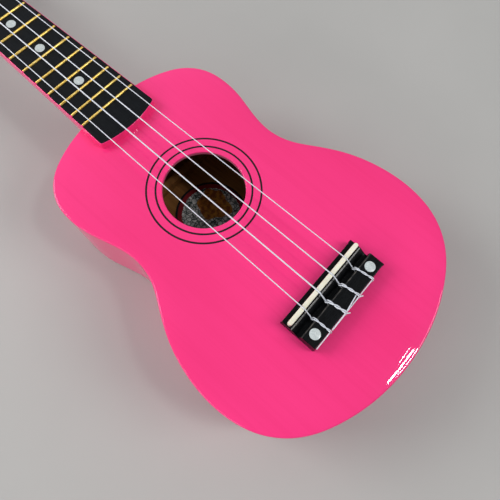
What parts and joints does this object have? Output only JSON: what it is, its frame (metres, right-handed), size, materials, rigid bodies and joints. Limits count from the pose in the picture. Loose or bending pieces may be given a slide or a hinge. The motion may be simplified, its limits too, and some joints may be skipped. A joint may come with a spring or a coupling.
{
  "type": "ukulele",
  "caption": "Small ukulele with a glossy pink figure-eight body, dark fingerboard, tie bridge and geared tuners on a tilted headstock.",
  "frame": {"origin": "on the flat outer face of the back, on the centre line, directly under the bridge end of the 346 mm scale", "axes": "+Z out of the soundboard, +Y up the neck to the headstock, +X to the side of the A string"},
  "size_m": [0.1788, 0.53, 0.0709],
  "materials": {
    "pink_paint": "glossy pink lacquer over wood",
    "bare_wood": "unpainted, dusty",
    "label_paper": "printed paper",
    "black_board": "black stain, satin",
    "black_plastic": "gloss black",
    "fret_brass": "polished, slightly worn",
    "ivory_plastic": "ivory, satin",
    "cream_plastic": "cream, glossy",
    "dot_plastic": "white-grey inlay",
    "nylon": "clear nylon",
    "nickel": "nickel plate"
  },
  "bodies": {
    "ukulele": {"soundboard": "pink_paint", "back_plate": "pink_paint", "side_bass": "pink_paint", "side_treble": "pink_paint", "neck": "pink_paint", "neck_block": "bare_wood", "tail_block": "bare_wood", "lining_top": "bare_wood", "lining_back": "bare_wood", "brace_upper": "bare_wood", "brace_lower": "bare_wood", "bridge_plate": "bare_wood", "back_brace_upper": "bare_wood", "back_brace_lower": "bare_wood", "label": "label_paper", "fretboard": "black_board", "nut": "ivory_plastic", "fret_01": "fret_brass", "fret_02": "fret_brass", "fret_03": "fret_brass", "fret_04": "fret_brass", "fret_05": "fret_brass", "fret_06": "fret_brass", "fret_07": "fret_brass", "fret_08": "fret_brass", "fret_09": "fret_brass", "fret_10": "fret_brass", "fret_11": "fret_brass", "fret_12": "fret_brass", "position_dot_05": "dot_plastic", "position_dot_07": "dot_plastic", "position_dot_10": "dot_plastic", "bridge": "black_plastic", "saddle": "ivory_plastic", "bridge_dot_bass": "dot_plastic", "bridge_dot_treble": "dot_plastic", "string_g": "nylon", "string_c": "nylon", "string_e": "nylon", "string_a": "nylon", "tuner_plate_g": "nickel", "ferrule_g": "nickel", "tuner_plate_c": "nickel", "ferrule_c": "nickel", "tuner_plate_e": "nickel", "ferrule_e": "nickel", "tuner_plate_a": "nickel", "ferrule_a": "nickel"},
    "worm_g": {"worm_shaft_g": "nickel", "tuner_button_g": "cream_plastic"},
    "worm_c": {"worm_shaft_c": "nickel", "tuner_button_c": "cream_plastic"},
    "worm_e": {"worm_shaft_e": "nickel", "tuner_button_e": "cream_plastic"},
    "worm_a": {"worm_shaft_a": "nickel", "tuner_button_a": "cream_plastic"},
    "post_g": {"string_post_g": "nickel"},
    "post_c": {"string_post_c": "nickel"},
    "post_e": {"string_post_e": "nickel"},
    "post_a": {"string_post_a": "nickel"}
  },
  "joints": [
    {"name": "worm_g_turn", "type": "hinge", "parent": "ukulele", "child": "worm_g", "pos_m": [-0.016, 0.37461, 0.03799], "axis": [1, 0, 0], "continuous": true},
    {"name": "worm_c_turn", "type": "hinge", "parent": "ukulele", "child": "worm_c", "pos_m": [-0.0172, 0.41374, 0.02968], "axis": [1, 0, 0], "continuous": true},
    {"name": "worm_e_turn", "type": "hinge", "parent": "ukulele", "child": "worm_e", "pos_m": [0.0172, 0.41374, 0.02968], "axis": [1, 0, 0], "continuous": true},
    {"name": "worm_a_turn", "type": "hinge", "parent": "ukulele", "child": "worm_a", "pos_m": [0.016, 0.37461, 0.03799], "axis": [1, 0, 0], "continuous": true},
    {"name": "post_g_turn", "type": "hinge", "parent": "ukulele", "child": "post_g", "pos_m": [-0.016, 0.38541, 0.05251], "axis": [0, 0.2079, 0.9781], "continuous": true},
    {"name": "post_c_turn", "type": "hinge", "parent": "ukulele", "child": "post_c", "pos_m": [-0.0172, 0.42454, 0.0442], "axis": [0, 0.2079, 0.9781], "continuous": true},
    {"name": "post_e_turn", "type": "hinge", "parent": "ukulele", "child": "post_e", "pos_m": [0.0172, 0.42454, 0.0442], "axis": [0, 0.2079, 0.9781], "continuous": true},
    {"name": "post_a_turn", "type": "hinge", "parent": "ukulele", "child": "post_a", "pos_m": [0.016, 0.38541, 0.05251], "axis": [0, 0.2079, 0.9781], "continuous": true}
  ],
  "couplings": [
    {"joint": "post_g_turn", "follows": "worm_g_turn", "ratio": -0.071429},
    {"joint": "post_c_turn", "follows": "worm_c_turn", "ratio": -0.071429},
    {"joint": "post_e_turn", "follows": "worm_e_turn", "ratio": -0.071429},
    {"joint": "post_a_turn", "follows": "worm_a_turn", "ratio": -0.071429}
  ]
}
